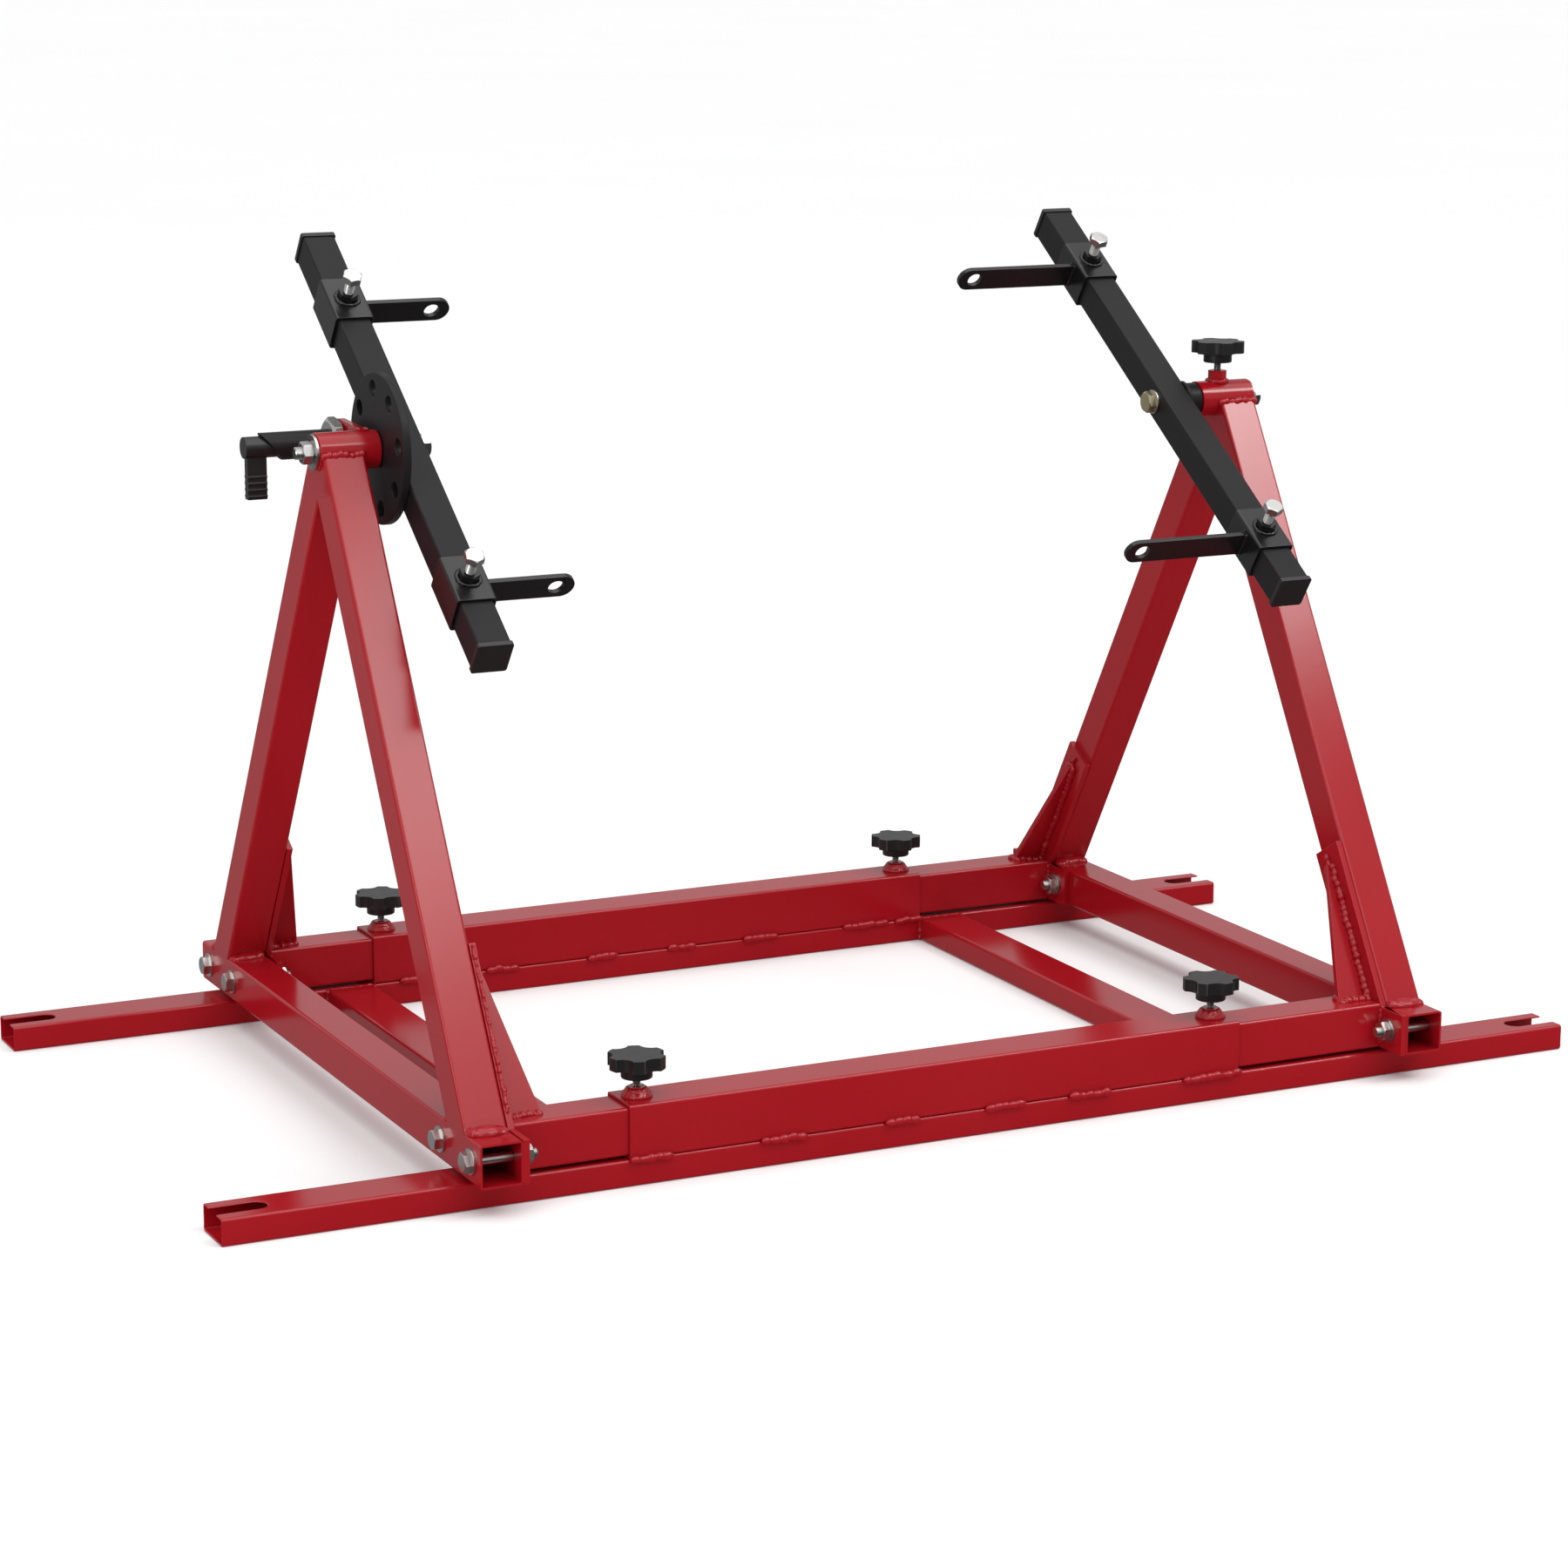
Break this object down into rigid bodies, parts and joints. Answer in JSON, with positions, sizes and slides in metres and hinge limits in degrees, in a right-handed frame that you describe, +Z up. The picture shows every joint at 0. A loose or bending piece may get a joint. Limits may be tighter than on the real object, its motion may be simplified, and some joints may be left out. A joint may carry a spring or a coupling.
{
  "type": "engine stand",
  "caption": "Floor-standing engine stand: two A-frame towers slide on a rail frame and carry turning arms with sliding drilled straps.",
  "frame": {"origin": "on the floor at the middle of the stand", "axes": "+X along the floor rails from the index-disc tower to the knob tower, -Y to the front, +Z up"},
  "size_m": [1.384, 0.761, 0.7981],
  "materials": {
    "red_powder_coat": "glossy red powder coat",
    "black_powder_coat": "satin black powder coat",
    "black_plastic": "moulded black plastic",
    "bright_zinc": "bright zinc plating"
  },
  "bodies": {
    "floor_frame": {"rail_front": "red_powder_coat", "rail_rear": "red_powder_coat", "sleeve_front": "red_powder_coat", "sleeve_rear": "red_powder_coat", "floor_bar_left": "red_powder_coat", "floor_bar_right": "red_powder_coat", "sleeve_nuts": "red_powder_coat"},
    "left_tower": {"left_slide_front": "red_powder_coat", "left_slide_rear": "red_powder_coat", "left_bracket_front": "red_powder_coat", "left_bracket_rear": "red_powder_coat", "left_cross_tube": "red_powder_coat", "left_leg_front": "red_powder_coat", "left_leg_rear": "red_powder_coat", "left_barrel": "red_powder_coat", "left_corner_bolts": "bright_zinc", "index_lug": "red_powder_coat", "index_nut": "bright_zinc", "index_body": "black_powder_coat"},
    "right_tower": {"right_slide_front": "red_powder_coat", "right_slide_rear": "red_powder_coat", "right_bracket_front": "red_powder_coat", "right_bracket_rear": "red_powder_coat", "right_cross_tube": "red_powder_coat", "right_leg_front": "red_powder_coat", "right_leg_rear": "red_powder_coat", "right_barrel": "red_powder_coat", "right_corner_bolts": "bright_zinc", "barrel_nut": "red_powder_coat"},
    "left_arm": {"left_arm_tube": "black_powder_coat", "left_arm_caps": "black_plastic", "index_disc": "black_powder_coat", "left_spindle": "black_powder_coat", "left_pivot_bolt": "bright_zinc"},
    "right_arm": {"right_arm_tube": "black_powder_coat", "right_arm_caps": "black_plastic", "right_spindle": "black_powder_coat", "right_pivot_bolt": "bright_zinc"},
    "left_upper_collar": {"left_collar_upper": "black_powder_coat"},
    "left_upper_set_bolt": {"left_collar_bolt_upper": "bright_zinc"},
    "left_lower_collar": {"left_collar_lower": "black_powder_coat"},
    "left_lower_set_bolt": {"left_collar_bolt_lower": "bright_zinc"},
    "right_upper_collar": {"right_collar_upper": "black_powder_coat"},
    "right_upper_set_bolt": {"right_collar_bolt_upper": "bright_zinc"},
    "right_lower_collar": {"right_collar_lower": "black_powder_coat"},
    "right_lower_set_bolt": {"right_collar_bolt_lower": "bright_zinc"},
    "front_left_knob": {"knob_front_left": "black_plastic", "stud_front_left": "bright_zinc"},
    "front_right_knob": {"knob_front_right": "black_plastic", "stud_front_right": "bright_zinc"},
    "rear_left_knob": {"knob_rear_left": "black_plastic", "stud_rear_left": "bright_zinc"},
    "rear_right_knob": {"knob_rear_right": "black_plastic", "stud_rear_right": "bright_zinc"},
    "barrel_knob": {"knob_barrel": "black_plastic", "stud_barrel": "bright_zinc"},
    "index_pin": {"index_pin": "bright_zinc"},
    "index_lever": {"index_lever": "black_plastic"}
  },
  "joints": [
    {"name": "left_tower_slide", "type": "slide", "parent": "floor_frame", "child": "left_tower", "axis": [1, 0, 0], "range_m": [-0.15, 0.06]},
    {"name": "right_tower_slide", "type": "slide", "parent": "floor_frame", "child": "right_tower", "axis": [1, 0, 0], "range_m": [-0.095, 0.1]},
    {"name": "left_arm_turn", "type": "hinge", "parent": "left_tower", "child": "left_arm", "pos_m": [-0.3882, 0, 0.6185], "axis": [1, 0, 0], "continuous": true},
    {"name": "right_arm_turn", "type": "hinge", "parent": "right_tower", "child": "right_arm", "pos_m": [0.4322, 0, 0.6185], "axis": [1, 0, 0], "continuous": true},
    {"name": "left_upper_collar_slide", "type": "slide", "parent": "left_arm", "child": "left_upper_collar", "axis": [0, 0.8059, 0.592], "range_m": [-0.084, 0.06]},
    {"name": "left_upper_set_bolt_turn", "type": "hinge", "parent": "left_upper_collar", "child": "left_upper_set_bolt", "pos_m": [-0.3882, 0.14829, 0.72743], "axis": [0, -0.592, 0.8059], "continuous": true},
    {"name": "left_lower_collar_slide", "type": "slide", "parent": "left_arm", "child": "left_lower_collar", "axis": [0, 0.8059, 0.592], "range_m": [-0.047, 0.088]},
    {"name": "left_lower_set_bolt_turn", "type": "hinge", "parent": "left_lower_collar", "child": "left_lower_set_bolt", "pos_m": [-0.3882, -0.15152, 0.5072], "axis": [0, -0.592, 0.8059], "continuous": true},
    {"name": "right_upper_collar_slide", "type": "slide", "parent": "right_arm", "child": "right_upper_collar", "axis": [0, 0.829, 0.5592], "range_m": [-0.15, 0.052]},
    {"name": "right_upper_set_bolt_turn", "type": "hinge", "parent": "right_upper_collar", "child": "right_upper_set_bolt", "pos_m": [0.4322, 0.16747, 0.73146], "axis": [0, -0.5592, 0.829], "continuous": true},
    {"name": "right_lower_collar_slide", "type": "slide", "parent": "right_arm", "child": "right_lower_collar", "axis": [0, 0.829, 0.5592], "range_m": [-0.039, 0.15]},
    {"name": "right_lower_set_bolt_turn", "type": "hinge", "parent": "right_lower_collar", "child": "right_lower_set_bolt", "pos_m": [0.4322, -0.17451, 0.50079], "axis": [0, -0.5592, 0.829], "continuous": true},
    {"name": "front_left_knob_turn", "type": "hinge", "parent": "floor_frame", "child": "front_left_knob", "pos_m": [-0.298, -0.3225, 0.09], "axis": [0, 0, 1], "continuous": true},
    {"name": "front_right_knob_turn", "type": "hinge", "parent": "floor_frame", "child": "front_right_knob", "pos_m": [0.298, -0.3225, 0.09], "axis": [0, 0, 1], "continuous": true},
    {"name": "rear_left_knob_turn", "type": "hinge", "parent": "floor_frame", "child": "rear_left_knob", "pos_m": [-0.298, 0.3225, 0.09], "axis": [0, 0, 1], "continuous": true},
    {"name": "rear_right_knob_turn", "type": "hinge", "parent": "floor_frame", "child": "rear_right_knob", "pos_m": [0.298, 0.3225, 0.09], "axis": [0, 0, 1], "continuous": true},
    {"name": "barrel_knob_turn", "type": "hinge", "parent": "right_tower", "child": "barrel_knob", "pos_m": [0.49, 0, 0.66], "axis": [0, 0, 1], "continuous": true},
    {"name": "index_pin_pull", "type": "slide", "parent": "left_tower", "child": "index_pin", "axis": [-1, 0, 0], "range_m": [0, 0.01], "stiffness_N_per_m": 400, "springref_m": -0.01},
    {"name": "index_lever_turn", "type": "hinge", "parent": "index_pin", "child": "index_lever", "pos_m": [-0.5, 0.055, 0.6185], "axis": [-1, 0, 0], "range_deg": [0, 180]}
  ],
  "couplings": [
    {"joint": "index_lever_turn", "follows": "index_pin_pull", "rad_per_m": 314.1}
  ]
}
